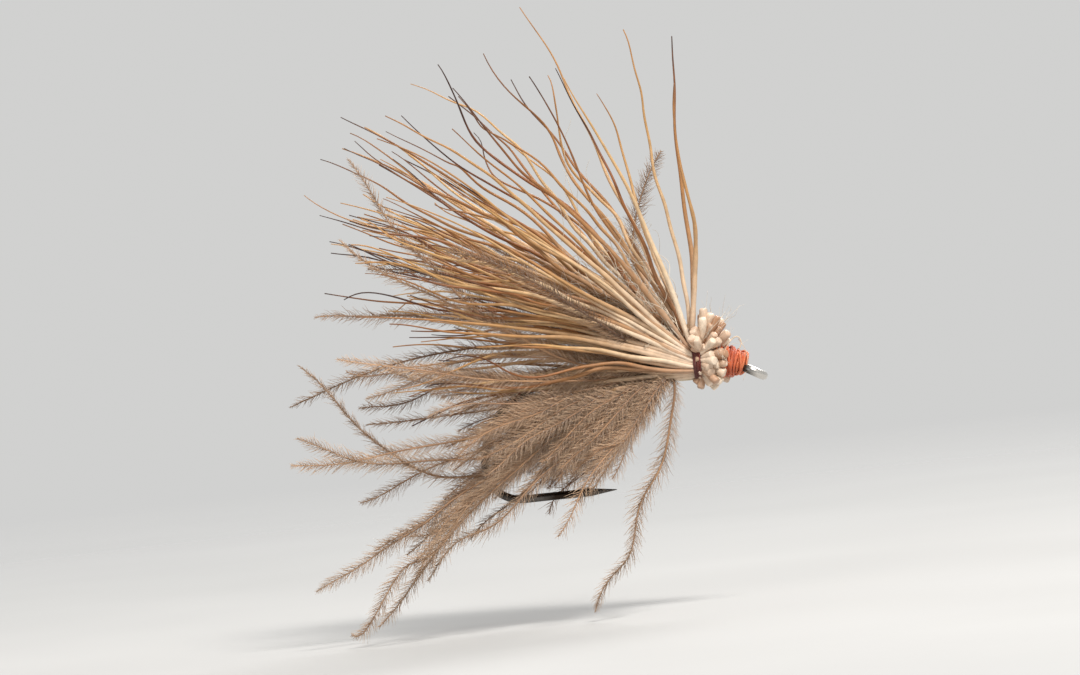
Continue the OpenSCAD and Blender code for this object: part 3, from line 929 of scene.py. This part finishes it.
def wing_wisps():
    """Short curved fibres caught between the hairs of the wing."""
    made = []
    t = np.linspace(0, 1, WISP_RINGS)
    for _ in range(WISPS):
        rise = math.radians(RNG.uniform(22, 62))
        up_the_wing = RNG.uniform(4, 12.5) * np.array([-math.cos(rise), 0, math.sin(rise)])
        foot = up_the_wing + np.array([-3, RNG.uniform(-1.6, 0.6), 0.6])
        heading = rise + math.radians(RNG.normal(0, 26))
        away = np.array([-math.cos(heading), RNG.normal(0, 0.15), math.sin(heading)])
        bend = np.array([-math.sin(heading), RNG.normal(0, 0.2), -math.cos(heading)])
        bend = bend * RNG.uniform(-0.2, 0.2)
        where = RNG.uniform(1.8, 5) * t
        path = foot + away * where[:, None] + bend * (where ** 2)[:, None]
        path += 0.16 * waves(where, 2, 1.2, 3)
        made.append((path, WISP_R * (1 - 0.6 * t), t))
    strand_piece("wing_wisps", made, 5, FUR, "underfur")


head_fibres()
tuft_fuzz()
wing_wisps()


# ---------- hook ----------

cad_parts["hook"].data.materials.clear()
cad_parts["hook"].data.materials.append(WIRE)


# ---------- studio ----------

FLOOR_RINGS, FLOOR_SIDES = 23, 96
FLOOR_R = 900
FLOOR_GAP = 0.6                 # below the lowest CAD point
FADE_FROM, FADE_TO = 45, 230    # from the origin
CENTRE_X = -12
PALE, PALER = (0.44, 0.437, 0.43, 1), (0.47, 0.467, 0.46, 1)


def floor_material():
    """Matt pale grey that turns clear away from the middle, so that no horizon shows."""
    m = Nodes("studio_floor")
    colour = m.ramp(m.noise(0.02, 2), [(0.3, PALE), (0.7, PALER)])
    m.finish(m.scaled(colour, m.varied(0.05, 3, 0.97, 1.02)), m.varied(0.1, 2, 0.75, 0.9))
    away = m.new("ShaderNodeVectorMath", operation="LENGTH")
    m.link(m.place, away.inputs[0])
    clear = m.new("ShaderNodeBsdfTransparent")
    fade = m.new("ShaderNodeMixShader")
    m.link(m.span(away.outputs["Value"], FADE_FROM * MM, FADE_TO * MM, 0, 1), fade.inputs[0])
    m.link(m.shader.outputs[0], fade.inputs[1])
    m.link(clear.outputs[0], fade.inputs[2])
    m.link(fade.outputs[0], m.tree.nodes["Material Output"].inputs["Surface"])
    return m.material


def floor():
    """A round floor of rings that widen outwards."""
    radii = np.linspace(0, 1, FLOOR_RINGS + 1)[1:] ** 2 * FLOOR_R
    turns = np.linspace(0, TURN, FLOOR_SIDES, endpoint=False)
    z = CAD_BOX[0][2] / MM - FLOOR_GAP
    co = [(CENTRE_X, 0.0, z)]
    co += [(CENTRE_X + r * math.cos(a), r * math.sin(a), z) for r in radii for a in turns]
    faces = [(0, 1 + j, 1 + (j + 1) % FLOOR_SIDES) for j in range(FLOOR_SIDES)]
    for i in range(FLOOR_RINGS - 1):
        for j in range(FLOOR_SIDES):
            a, b = 1 + i * FLOOR_SIDES + j, 1 + i * FLOOR_SIDES + (j + 1) % FLOOR_SIDES
            faces.append((a, a + FLOOR_SIDES, b + FLOOR_SIDES, b))
    mesh = bpy.data.meshes.new("floor")
    mesh.from_pydata([tuple(v * MM for v in p) for p in co], [], faces)
    mesh.materials.append(floor_material())
    stand = bpy.data.objects.new("floor", mesh)
    bpy.context.scene.collection.objects.link(stand)


floor()


MIDDLE = Vector((-0.0125, 0, 0.004))


def light(name, place, size, watts, colour=(1, 1, 1)):
    """A round area light that faces the middle of the fly."""
    lamp = bpy.data.lights.new(name, "AREA")
    lamp.shape = "DISK"
    lamp.size = size
    lamp.energy = watts
    lamp.color = colour
    thing = bpy.data.objects.new(name, lamp)
    bpy.context.scene.collection.objects.link(thing)
    thing.location = place
    thing.rotation_euler = (MIDDLE - Vector(place)).to_track_quat("-Z", "Y").to_euler()


light("key", (0.14, -0.30, 0.42), 0.15, 3.3, (1, 0.97, 0.93))
light("fill", (-0.42, -0.34, 0.12), 0.4, 0.45, (0.95, 0.97, 1))
light("rim", (0.18, 0.42, 0.36), 0.25, 1.6)

world = bpy.data.worlds.new("studio")
bpy.context.scene.world = world
world.use_nodes = True
backdrop = world.node_tree.nodes["Background"]
backdrop.inputs["Color"].default_value = (0.86, 0.86, 0.85, 1)
backdrop.inputs["Strength"].default_value = 0.74
bpy.context.scene.view_settings.view_transform = "Standard"

AIM = Vector((-0.012, 0, 0.0032))
DISTANCE = 0.5
ELEVATION, ROLL = math.radians(1.5), math.radians(6)

camera = bpy.data.cameras.new("camera")
camera.lens, camera.sensor_width = 290, 36
camera.clip_start, camera.clip_end = 0.01, 10
viewer = bpy.data.objects.new("camera", camera)
bpy.context.scene.collection.objects.link(viewer)
bpy.context.scene.camera = viewer
looking = Vector((0, math.cos(ELEVATION), -math.sin(ELEVATION)))
right = Vector((math.cos(ROLL), 0, -math.sin(ROLL)))
right = (right - right.dot(looking) * looking).normalized()
turned = Matrix((right, right.cross(looking), -looking)).transposed().to_4x4()
viewer.matrix_world = Matrix.Translation(AIM - looking * DISTANCE) @ turned
